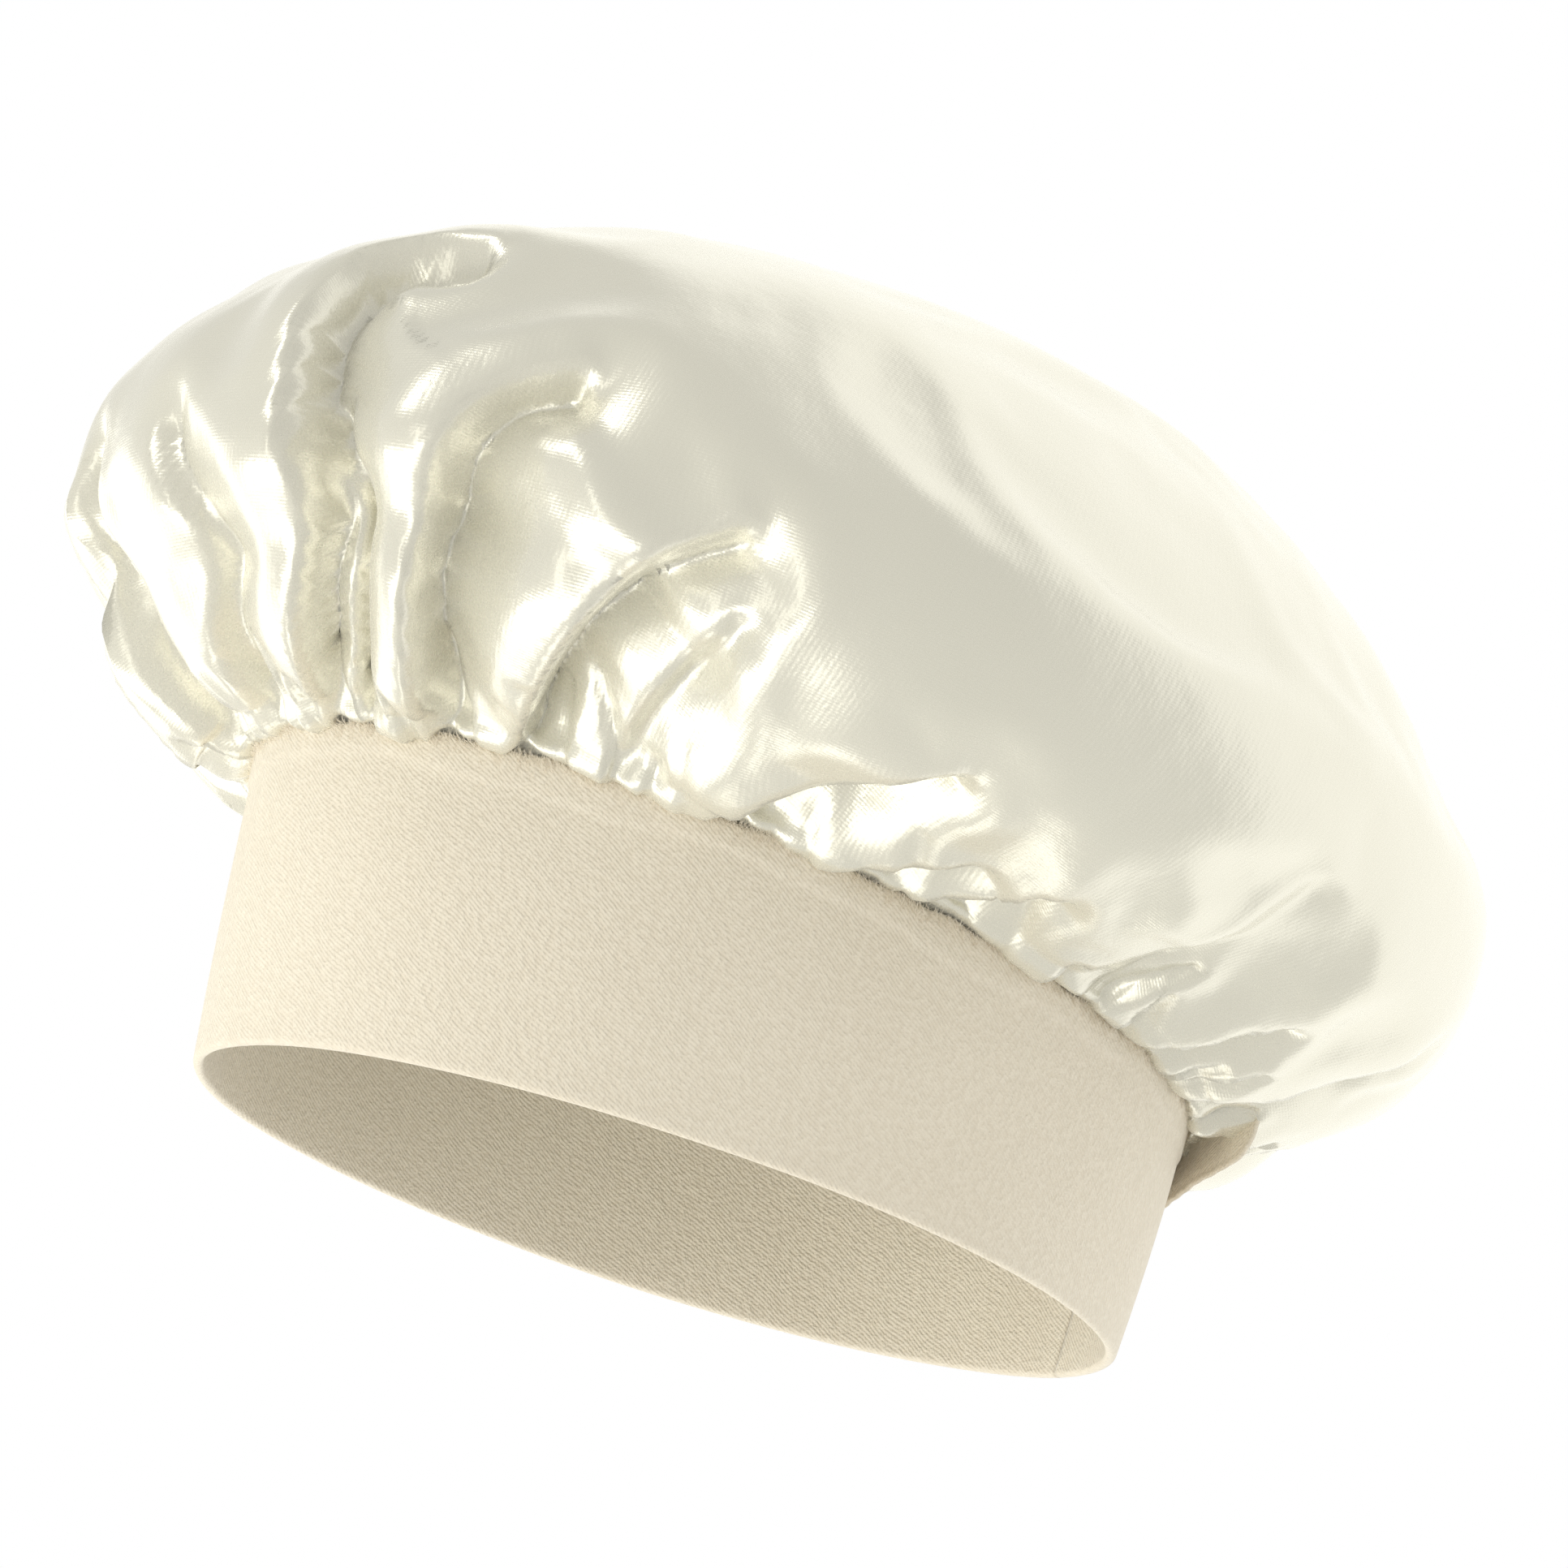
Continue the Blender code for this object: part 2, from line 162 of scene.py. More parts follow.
# --- Weaves: how far apart the threads lie in metres, and how they are turned ---
SATIN_THREADS = (0.0006, math.radians(90))
SATIN_RIBS = (0.0009, math.radians(14))
TWILL_ROWS = (0.0008, math.radians(62))
TWILL_CROSSING = (0.0011, math.radians(-20))
HOOK_TAPE = (0.0009, 0.0003)  # for the tapes, how far apart the tufts are and how tall
LOOP_TAPE = (0.0005, 0.0004)

# --- The floor ---
FLOOR_HEIGHT = -0.0004
FLOOR_SIDE = 9.0


def view_axes():
    """Right, up and back of the camera."""
    sin_a, cos_a = math.sin(VIEW_AZIMUTH), math.cos(VIEW_AZIMUTH)
    sin_e, cos_e = math.sin(VIEW_ELEVATION), math.cos(VIEW_ELEVATION)
    back = Vector((sin_a * cos_e, -cos_a * cos_e, sin_e))
    right = Vector((cos_a, sin_a, 0))
    up = back.cross(right)
    rolled_right = right * math.cos(VIEW_ROLL) + up * math.sin(VIEW_ROLL)
    rolled_up = up * math.cos(VIEW_ROLL) - right * math.sin(VIEW_ROLL)
    return rolled_right, rolled_up, back


def add_camera():
    right, up, back = view_axes()
    data = bpy.data.cameras.new("camera")
    data.lens = FOCAL_LENGTH
    data.sensor_width = SENSOR
    camera = bpy.data.objects.new("camera", data)
    bpy.context.scene.collection.objects.link(camera)
    place = right * AIM_RIGHT + up * AIM_UP + back * VIEW_DISTANCE + Vector((0, BAND_CENTRE_Y, 0))
    turn = Matrix((right, up, back)).transposed()
    camera.matrix_world = Matrix.Translation(place) @ turn.to_4x4()
    bpy.context.scene.camera = camera


# --- Meshes ---


def new_object(name, points, faces, smooth=True):
    """A mesh object in the scene, from points and the faces between them."""
    mesh = bpy.data.meshes.new(name)
    mesh.from_pydata([tuple(p) for p in points], [], [tuple(int(i) for i in f) for f in faces])
    mesh.update()
    made = bpy.data.objects.new(name, mesh)
    bpy.context.scene.collection.objects.link(made)
    for face in mesh.polygons:
        face.use_smooth = smooth
    return made


def grid_faces(rows, columns):
    """Quads between rings of points, one ring after another."""
    faces = []
    for r in range(rows - 1):
        for c in range(columns):
            d = (c + 1) % columns
            here, above = r * columns, (r + 1) * columns
            faces.append((here + c, here + d, above + d, above + c))
    return faces


def smoothstep(low, high, value):
    """0 up to low, 1 from high on, and a smooth climb between them."""
    t = np.clip((value - low) / (high - low), 0, 1)
    return t * t * (3 - 2 * t)


def band_height(angle):
    return BAND_HEIGHT - HEIGHT_CHANGE * np.sin(angle)


def on_band(angle, outwards, height):
    """Points this far outside the band's outer face, as an array of x, y, z."""
    lean = height / BAND_HEIGHT
    spread = 1 + FLARE * lean
    x = (OUTER_WIDTH * spread + outwards) * np.cos(angle)
    y = (OUTER_LENGTH * spread + outwards) * np.sin(angle) + FLARE_SHIFT * lean + BAND_CENTRE_Y
    return np.stack([x, y, height + 0 * x], axis=-1)


# --- The crown's form ---

AROUND = 480
LOW_ROWS = 56
HIGH_ROWS = 72
LAST_RING = 0.985  # share where the rings of points end, next to the single point at the apex


def crown_form(angle, share):
    """The puffed crown without folds: share runs from 0 at the seam to 1 at the apex."""
    back = (1 + np.sin(angle)) / 2
    seam = band_height(angle)
    widest = WIDEST_FRONT + (WIDEST_BACK - WIDEST_FRONT) * back
    underside = UNDERSIDE_FRONT + (UNDERSIDE_BACK - UNDERSIDE_FRONT) * back
    overhang = OVERHANG_FRONT + (OVERHANG_BACK - OVERHANG_FRONT) * back
    overhang = overhang + OVERHANG_SIDE * np.cos(angle) ** 2
    t = np.clip(share / UNDERSIDE_SHARE, 0, 1)
    u = 1 - t
    out = (3 * u * u * t * UNDERSIDE_START + 3 * u * t * t + t**3) * overhang
    rise = u**3 * seam + 3 * u * u * t * underside
    lifted = underside + UNDERSIDE_LIFT * (widest - underside)
    rise = rise + 3 * u * t * t * lifted + t**3 * widest
    turn = np.clip((share - UNDERSIDE_SHARE) / (1 - UNDERSIDE_SHARE), 0, 1) * math.pi / 2
    scale = np.cos(turn) ** (2 / SHOULDER)
    dome = widest + (TOP - widest) * np.sin(turn) ** (2 / SHOULDER)
    height = np.where(share > UNDERSIDE_SHARE, dome, rise)
    lean = smoothstep(seam, TOP, height)
    dip = SEAM_DIP * np.sin(np.clip(out / SEAM_DIP_REACH, 0, 1) * math.pi)
    height = height - dip
    ring = on_band(angle, out, np.minimum(height, seam))
    x = ring[..., 0] * scale
    y = (ring[..., 1] - BAND_CENTRE_Y) * scale + BAND_CENTRE_Y + CROWN_SHIFT * lean
    return np.stack([x, y, height + 0 * x], axis=-1)


# --- Folds ---
# Each main fold is a slot that runs up from the seam to a rounded tip, with a crest along its
# left side. Its points are (angle in degrees, rise in metres along the cloth). Then come the
# crest's height, the slot's depth, the distance from slot to crest, and how wide the fold's
# left and right sides are.

FOLDS = (
    (((-89, 0), (-86, 0.018), (-81, 0.036), (-80, 0.050), (-84, 0.066)),
     0.0030, 0.0050, 0.0055, 0.016, 0.014),
    (((-77, 0), (-71.5, 0.020), (-67.5, 0.040), (-66, 0.056), (-67.5, 0.075), (-69, 0.092),
      (-68.5, 0.106), (-64.5, 0.114), (-60, 0.115)),
     0.0055, 0.0105, 0.0045, 0.018, 0.015),
    (((-71, 0), (-67, 0.020), (-64, 0.04), (-64, 0.056), (-65.5, 0.070)),
     0.0030, 0.0060, 0.0035, 0.007, 0.008),
    (((-60, 0), (-57, 0.022), (-55, 0.045), (-53, 0.062), (-49, 0.077), (-44.5, 0.084)),
     0.0055, 0.0115, 0.0050, 0.013, 0.021),
    (((-50, 0), (-44.5, 0.022), (-39.5, 0.042), (-35, 0.055), (-29.5, 0.065)),
     0.0055, 0.0115, 0.0045, 0.015, 0.018),
    (((-37, 0), (-34.5, 0.018), (-31, 0.034), (-28, 0.048)),
     0.0020, 0.0040, 0.0060, 0.012, 0.010),
    (((-27, 0), (-21, 0.016), (-14, 0.0275), (-9, 0.036)),
     0.0045, 0.0090, 0.0040, 0.014, 0.012),
    (((-13, 0), (-7, 0.010), (-1, 0.018)),
     0.0025, 0.0050, 0.0036, 0.008, 0.009),
    (((-4, 0), (2, 0.012), (6, 0.022)),
     0.0028, 0.0060, 0.0036, 0.008, 0.010),
    (((17, 0), (22, 0.022), (25, 0.052)),
     0.0016, 0.0030, 0.0090, 0.018, 0.022),
    (((32, 0), (36, 0.014), (38, 0.028)),
     0.0020, 0.0040, 0.0036, 0.008, 0.009),
    (((48, 0), (51, 0.022), (53, 0.042)),
     0.0030, 0.0055, 0.0050, 0.012, 0.014),
    (((62, 0), (69, 0.015), (75, 0.030)),
     0.0026, 0.0050, 0.0045, 0.010, 0.012),
    (((76, 0), (79, 0.020), (84, 0.045), (87, 0.066)),
     0.0030, 0.0055, 0.0050, 0.012, 0.014),
)
# The shoulder, where the puffed dome turns under: (angle in degrees, rise, how strongly it turns).
SHOULDER_LINE = (
    (-180, 0.052, 0.5), (-110, 0.050, 0.6), (-79, 0.048, 0.9), (-61, 0.060, 1.0), (-42, 0.064, 1.0),
    (-34, 0.046, 0.7), (-24, 0.032, 0.6), (-8, 0.028, 0.6), (10, 0.026, 0.5), (40, 0.036, 0.5),
    (100, 0.050, 0.5), (180, 0.052, 0.5),
)
SHOULDER_TURN = 0.0034  # how far the dome stands out above the line, and draws in below it
SHOULDER_WIDTH = 0.009
CREST_LEAN = 0.24  # how far a crest leans over its slot, against its height above the slot's bottom
FOLD_REACH = 28  # degrees to either side of a fold that it may change
FOLD_AT_SEAM = 0.22  # a fold's strength at the seam, against its full strength
FOLD_AT_TIP = 0.7  # and at its tip
SECOND_CREST = 0.35  # height of the swell on a fold's right, against its crest
SWELL_PLACE = 1.7  # how far out it lies, and how wide it is, against the right side's width
SWELL_WIDTH = 0.7
# Broad waves of the dome: (height, waves round it, waves up it in radians per metre, phase).
DOME_WAVES = ((0.0007, 5, 34, 0.4), (0.0004, 11, -61, 2.0), (0.0002, 19, 90, 4.0))
HIDDEN_FOLDS_FROM = 92  # degrees: folds like those go on round the back to the left of the forehead
HIDDEN_FOLDS_TO = 262
HIDDEN_FOLD_STEP = 9.5
HIDDEN_FOLD_LENGTHS = (0.035, 0.105)
HIDDEN_FOLD_WIDTHS = (0.008, 0.016)
HIDDEN_FOLD_CREST = 0.0046
HIDDEN_FOLD_SLOT = 0.0090
GATHERS = 74  # small folds that fade out just above the seam
GATHER_LENGTHS = (0.010, 0.026)
GATHER_CREST = 0.0012
GATHER_SLOT = 0.0024
GATHER_SLOPE = 0.0018
GATHER_WIDTH = 0.003
CALM_SEAM = (-34, 12)  # degrees: the small gathers are slighter here
CALM_SHARE = 0.45  # by this much
SEED = 7


def smooth_path(points, pieces=6):
    """More points along a rounded path through the given ones."""
    spots = np.array(points, float)
    spots = np.vstack([2 * spots[0] - spots[1], spots, 2 * spots[-1] - spots[-2]])
    rows = []
    for i in range(1, len(spots) - 2):
        for t in np.arange(pieces) / pieces:
            a, b, c, d = spots[i - 1 : i + 3]
            rows.append(0.5 * (2 * b + (c - a) * t + (2 * a - 5 * b + 4 * c - d) * t * t
                               + (3 * b - a - 3 * c + d) * t**3))
    rows.append(spots[-2])
    return np.array(rows)


def across_path(x, y, path):
    """How far points are from a path, how much on its left (0 to 1), and their share along it."""
    best = np.full(x.shape, 1e9)
    leftness = np.zeros(x.shape)
    along = np.zeros(x.shape)
    lengths = np.linalg.norm(np.diff(path, axis=0), axis=1)
    before = np.concatenate([[0], np.cumsum(lengths)])
    last = len(path) - 2
    for i in range(last + 1):
        a = path[i]
        step = (path[i + 1] - a) / lengths[i]
        reach = (x - a[0]) * step[0] + (y - a[1]) * step[1]
        inside = np.clip(reach, 0, lengths[i])
        dx = x - a[0] - inside * step[0]
        dy = y - a[1] - inside * step[1]
        distance = np.hypot(dx, dy) + 1e-9
        nearer = distance < best
        best = np.where(nearer, distance, best)
        rightwards = (step[1] * dx - step[0] * dy) / distance
        left = np.where(rightwards >= 0, 0.0, 1.0)
        if i == last:
            turned = np.arccos(np.clip(rightwards, -1, 1)) / math.pi
            left = np.where(reach > lengths[i], smoothstep(0, 1, turned), left)
        leftness = np.where(nearer, left, leftness)
        along = np.where(nearer, (before[i] + inside) / before[-1], along)
    return best, leftness, along


def fold_profile(d, leftness, along, fold):
    """Height near a fold: a drop from the crest on its left, and a gentle rise on its right."""
    crest, slot, slope, left, right = fold
    width = right * (0.5 + 0.5 * np.sin(math.pi * along))
    climb = crest * np.exp(-((np.maximum(d - slope, 0) / left) ** 2))
    drop = -slot + (crest + slot) * smoothstep(0, slope, d)
    left_side = np.where(d > slope, climb, drop)
    right_side = -slot * np.exp(-((d / width) ** 1.5))
    swell = np.exp(-(((d - SWELL_PLACE * width) / (SWELL_WIDTH * width)) ** 2))
    right_side = right_side + SECOND_CREST * crest * swell
    return left_side * leftness + right_side * (1 - leftness)


def add_fold(field, lean, angles, rise, ring, fold, mirrored=False):
    """Add one fold's height, and how far its crest leans over the slot, to the columns near it."""
    path = smooth_path(fold[0])
    middle = path[len(path) // 2, 0]
    offset = (np.degrees(angles) - middle + 180) % 360 - 180
    near = np.abs(offset) < np.ptp(path[:, 0]) / 2 + FOLD_REACH
    column = int(np.argmin(np.abs(offset)))
    radius = np.interp(path[:, 1], rise[:, column], ring[:, column])
    flat = np.stack([np.radians(path[:, 0] - middle) * radius, path[:, 1]], axis=1)
    x = np.radians(offset[near])[None, :] * ring[:, near]
    distance, leftness, along = across_path(x, rise[:, near], flat)
    towards = -1 if mirrored else 1
    if mirrored:
        leftness = 1 - leftness
    opening = FOLD_AT_SEAM + (1 - FOLD_AT_SEAM) * smoothstep(0, 0.2, along)
    closing = 1 - (1 - FOLD_AT_TIP) * smoothstep(0.6, 1, along)
    strength = opening * closing
    crest, slot, slope = fold[1:4]
    over = np.exp(-(((distance - slope) / (slope * 0.8)) ** 2)) * leftness
    field[:, near] += strength * fold_profile(distance, leftness, along, fold[1:])
    lean[:, near] += towards * strength * over * CREST_LEAN * (crest + slot)


def shoulder_field(angles, rise):
    """A soft step along the shoulder: the dome stands proud above it and draws in below it."""
    degrees = np.degrees(angles)
    line = np.array(SHOULDER_LINE)
    height = np.interp(degrees, line[:, 0], line[:, 1])[None, :]
    strength = np.interp(degrees, line[:, 0], line[:, 2])[None, :] * SHOULDER_TURN
    above = np.exp(-(((rise - height) / SHOULDER_WIDTH - 0.8) ** 2))
    below = np.exp(-(((rise - height) / SHOULDER_WIDTH + 0.8) ** 2))
    return strength * (above - below)


def dome_waves(angles, rise):
    """Broad slight waves all over the puffed cloth."""
    turn = angles[None, :]
    waves = 0
    for size, around, upwards, phase in DOME_WAVES:
        waves = waves + size * np.sin(around * turn + upwards * rise + phase)
    return waves * smoothstep(0.01, 0.05, rise) * (1 - smoothstep(0.15, 0.20, rise))


def all_folds():
    """The main folds, the ones like them round the far sides, and the small gathers.

    Each comes with whether it is mirrored, its crest on its right.
    """
    chance = np.random.default_rng(SEED)
    folds = [(fold, False) for fold in FOLDS]
    angle = HIDDEN_FOLDS_FROM
    while angle < HIDDEN_FOLDS_TO:
        length = chance.uniform(*HIDDEN_FOLD_LENGTHS)
        lean = chance.uniform(-8, 12)
        steps = (0, 0.3, 0.62, 1)
        wander = np.cumsum(chance.uniform(-2.5, 2.5, 4))
        points = tuple((angle + lean * s + w, length * s) for s, w in zip(steps, wander))
        size = chance.uniform(0.5, 1.0)
        width = chance.uniform(*HIDDEN_FOLD_WIDTHS)
        crest, slot = HIDDEN_FOLD_CREST * size, HIDDEN_FOLD_SLOT * size
        fold = (points, crest, slot, HIDDEN_FOLD_CREST, width, width)
        folds.append((fold, bool(chance.random() < 0.35)))
        angle += HIDDEN_FOLD_STEP * chance.uniform(0.7, 1.3)
    for i in range(GATHERS):
        angle = 360 * (i + chance.uniform(-0.36, 0.36)) / GATHERS
        length = chance.uniform(*GATHER_LENGTHS)
        lean = chance.uniform(-3, 3)
        points = ((angle, 0), (angle + lean * 0.4, length * 0.5), (angle + lean, length))
        size = chance.uniform(0.5, 1.0)
        if CALM_SEAM[0] < (angle + 180) % 360 - 180 < CALM_SEAM[1]:
            size *= CALM_SHARE
        crest, slot = GATHER_CREST * size, GATHER_SLOT * size
        fold = (points, crest, slot, GATHER_SLOPE, GATHER_WIDTH, GATHER_WIDTH)
        folds.append((fold, bool(chance.random() < 0.5)))
    return folds


def crown_columns():
    """Angles, and the unfolded form as a grid of rows from the seam to the apex."""
    angles = np.linspace(-math.pi, math.pi, AROUND, endpoint=False)
    low = np.linspace(0, UNDERSIDE_SHARE, LOW_ROWS)
    high = np.linspace(UNDERSIDE_SHARE, LAST_RING, HIGH_ROWS)[1:]
    share = np.repeat(np.concatenate([low, high])[:, None], AROUND, axis=1)
    form = crown_form(angles[None, :] + 0 * share, share)
    return angles, form


def turned_edge(angles):
    """Rows of the crown's edge: up the inside of the band and over its top edge."""
    seam = band_height(angles)
    depth = BAND_THICKNESS + EDGE_GAP
    rows = [on_band(angles, -depth, seam - ALLOWANCE * s) for s in (1, 0.75, 0.5, 0.25)]
    rows += [on_band(angles, -depth * s, seam + EDGE_GAP) for s in (1, 0.66, 0.33)]
    return np.stack(rows)


def add_uv(mesh, name, u, v):
    """Cloth coordinates in metres for every corner, from values for every vertex."""
    layer = mesh.uv_layers.new(name=name)
    corner = np.empty(len(mesh.loops), dtype=np.int64)
    mesh.loops.foreach_get("vertex_index", corner)
    values = np.stack([u.ravel()[corner], v.ravel()[corner]], axis=1)
    layer.data.foreach_set("uv", values.ravel())


# --- Settling with the cloth solver ---
# The crown is held near the seam and near the apex, and the dome between them gets no spare
# cloth. Distances run up the cloth from the seam.
HELD_EDGE = 0.004
HELD_TOP = (0.165, 0.195)
TAUT_FROM = (0.06, 0.11)
SETTLE_MASS = 0.12
SETTLE_STIFFNESS = 25
SETTLE_SHEAR = 8
SETTLE_DAMPING = 8
SETTLE_AIR = 4
SETTLE_FRAMES = 10
SETTLE_QUALITY = 5
SETTLE_BENDING = 0.6
SETTLE_GROWTH = 0.045  # spare cloth, as a share of every length
SETTLE_PRESSURE = 0.8
SETTLE_CAP = 0.006  # the farthest that a point may move
SETTLE_BLUR = 3  # rounds of smoothing of the movement
WEIGHT_LEVELS = 20  # steps of weight in a vertex group


def weight_group(owner, name, weights):
    """A vertex group with one weight per vertex; vertices of weight 0 stay out of it."""
    group = owner.vertex_groups.new(name=name)
    levels = np.round(weights * WEIGHT_LEVELS).astype(int)
    for level in np.unique(levels[levels > 0]):
        members = np.nonzero(levels == level)[0].tolist()
        group.add(members, float(level) / WEIGHT_LEVELS, "REPLACE")


def settle(cloth, held, taut):
    """Let the cloth solver settle a piece.

    held says where it is pinned, and taut where there's no spare cloth.
    """
    weight_group(cloth, "held", held)
    weight_group(cloth, "taut", taut)
    solver = cloth.modifiers.new("cloth", "CLOTH")
    settings = solver.settings
    settings.quality = SETTLE_QUALITY
    settings.mass = SETTLE_MASS
    settings.tension_stiffness = SETTLE_STIFFNESS
    settings.compression_stiffness = SETTLE_STIFFNESS
    settings.shear_stiffness = SETTLE_SHEAR
    settings.bending_stiffness = SETTLE_BENDING
    settings.tension_damping = SETTLE_DAMPING
    settings.compression_damping = SETTLE_DAMPING
    settings.shear_damping = SETTLE_DAMPING
    settings.air_damping = SETTLE_AIR
    settings.vertex_group_mass = "held"
    settings.vertex_group_shrink = "taut"
    settings.shrink_min = -SETTLE_GROWTH
    settings.shrink_max = 0
    settings.use_pressure = True
    settings.uniform_pressure_force = SETTLE_PRESSURE
    settings.effector_weights.gravity = 0
    solver.collision_settings.use_collision = False
    solver.collision_settings.use_self_collision = False
    solver.point_cache.frame_start = 1
    solver.point_cache.frame_end = SETTLE_FRAMES
    before = np.empty(len(cloth.data.vertices) * 3)
    cloth.data.vertices.foreach_get("co", before)
    for step in range(1, SETTLE_FRAMES + 1):
        bpy.context.scene.frame_set(step)
    settled = cloth.evaluated_get(bpy.context.evaluated_depsgraph_get())
    after = np.empty(len(before))
    settled.data.vertices.foreach_get("co", after)
    cloth.modifiers.remove(solver)
    cloth.vertex_groups.clear()
    move = (after - before).reshape(-1, 3)
    grid = move[:-1].reshape(-1, AROUND, 3)
    for _ in range(SETTLE_BLUR):
        grid = (grid + np.roll(grid, 1, axis=1) + np.roll(grid, -1, axis=1)) / 3
        grid[1:-1] = (grid[:-2] + grid[1:-1] + grid[2:]) / 3
    move = np.vstack([grid.reshape(-1, 3), move[-1:]])
    far = np.linalg.norm(move, axis=1, keepdims=True) + 1e-12
    limited = move / far * SETTLE_CAP * np.tanh(far / SETTLE_CAP)
    cloth.data.vertices.foreach_set("co", (before.reshape(-1, 3) + limited).ravel())
    cloth.data.update()
    bpy.context.scene.frame_set(1)


def make_crown():
    """The satin crown: the puffed form with its folds and its turned edge, settled as cloth."""
    angles, form = crown_columns()
    steps = np.linalg.norm(np.diff(form, axis=0), axis=2)
    rise = np.vstack([np.zeros((1, AROUND)), np.cumsum(steps, axis=0)])
    ring = np.hypot(form[..., 0], form[..., 1])
    along = np.roll(form, -1, axis=1) - np.roll(form, 1, axis=1)
    normal = np.cross(along, np.gradient(form, axis=0))
    normal = normal / (np.linalg.norm(normal, axis=2, keepdims=True) + 1e-12)
    field = shoulder_field(angles, rise) + dome_waves(angles, rise)
    lean = np.zeros(field.shape)
    for fold, mirrored in all_folds():
        add_fold(field, lean, angles, rise, ring, fold, mirrored)
    along = along / (np.linalg.norm(along, axis=2, keepdims=True) + 1e-12)
    edge = turned_edge(angles)
    folded = form + normal * field[..., None] + along * lean[..., None]
    points = np.concatenate([edge, folded])
    apex = points[-1].mean(axis=0) + np.array([0, 0, APEX_LIFT])
    faces = grid_faces(len(points), AROUND)
    first = (len(points) - 1) * AROUND
    for column in range(AROUND):
        faces.append((first + column, first + (column + 1) % AROUND, first + AROUND))
    places = np.vstack([points.reshape(-1, 3), apex])
    crown = new_object("crown_satin", places, faces)
    total = np.concatenate([np.full((len(edge), AROUND), EDGE_SHARE), rise])
    u = np.append((CLOTH_RADIUS * angles[None, :] + 0 * total).ravel(), 0)
    v = np.append(total.ravel(), rise.max())
    add_uv(crown.data, "cloth", u, v)
    held = np.maximum(1 - smoothstep(0.0, HELD_EDGE, total), smoothstep(*HELD_TOP, total))
    taut = smoothstep(*TAUT_FROM, total)
    settle(crown, np.append(held.ravel(), 1), np.append(taut.ravel(), 1))
    return crown


# --- The band ---


def unevenness(angles, height):
    """Small soft waves in the band's cloth, in metres outwards."""
    turns = angles[None, :]
    waves = 0
    for size, around, phase, upwards in BAND_WAVES:
        waves = waves + size * np.sin(around * turns + phase + upwards * height)
    bow = BAND_BOW * np.sin(math.pi * np.clip(height / BAND_HEIGHT, 0, 1))
    below_top = band_height(turns) - height
    edge = EDGE_RIDGE_REACH
    for size, around, phase in EDGE_RIDGE_WAVES:
        edge = edge + size * np.sin(around * turns + phase)
    ridge = EDGE_RIDGE * (1 - smoothstep(*EDGE_RIDGE_FADE, below_top - edge))
    return waves + bow + ridge


def band_outline(top):
    """(depth, height) round the folded strip: outer face, lower fold, inner face, back inside."""
    rows = []
    wall = BAND_CLOTH
    for s in np.linspace(1, 0, BAND_ROWS):
        rows.append((0 * top, FOLD_RADIUS + (top + BAND_LIP - FOLD_RADIUS) * s))
    for turn in np.linspace(0, math.pi, 9)[1:-1]:
        depth = BAND_THICKNESS / 2 * (1 - math.cos(turn))
        rows.append((depth + 0 * top, FOLD_RADIUS * (1 - math.sin(turn)) + 0 * top))
    for s in np.linspace(0, 1, 20):
        rows.append((BAND_THICKNESS + 0 * top, FOLD_RADIUS + (top - FOLD_RADIUS) * s))
    rows.append((BAND_THICKNESS - wall + 0 * top, top))
    rows.append((BAND_THICKNESS - wall + 0 * top, FOLD_RADIUS + 0 * top))
    rows.append((BAND_THICKNESS / 2 + 0 * top, FOLD_INSIDE + 0 * top))
    rows.append((wall + 0 * top, FOLD_RADIUS + 0 * top))
    rows.append((wall + 0 * top, top))
    return rows


def make_band():
    """One strip of twill folded at the lower edge, its two ends meeting at the back."""
    edge = SLIT_HALF_ANGLE
    angles = np.linspace(BACK + edge, BACK + 2 * math.pi - edge, BAND_COLUMNS)
    pulls = EDGE_PULL * np.sin(47 * angles + 1.3 * np.sin(6 * angles))
    top = band_height(angles) - BAND_TOP_TUCK + pulls
    rows = []
    for depth, height in band_outline(top):
        outer_share = 0.4 + 0.6 * (1 - depth / BAND_THICKNESS)
        outwards = -depth + unevenness(angles, height)[0] * outer_share
        rows.append(on_band(angles, outwards, height))
    points = np.stack(rows)
    count = len(points)
    faces = []
    for r in range(count):
        for c in range(BAND_COLUMNS - 1):
            s = (r + 1) % count
            faces.append((r * BAND_COLUMNS + c, s * BAND_COLUMNS + c,
                          s * BAND_COLUMNS + c + 1, r * BAND_COLUMNS + c + 1))
    faces.append([r * BAND_COLUMNS for r in reversed(range(count))])
    faces.append([r * BAND_COLUMNS + BAND_COLUMNS - 1 for r in range(count)])
    band = new_object("band_twill", points.reshape(-1, 3), faces)
    steps = np.linalg.norm(np.diff(points, axis=0), axis=2)
    across = np.vstack([np.zeros((1, BAND_COLUMNS)), np.cumsum(steps, axis=0)])
    add_uv(band.data, "cloth", OUTER_LENGTH * angles[None, :] + 0 * across, across)
    return band


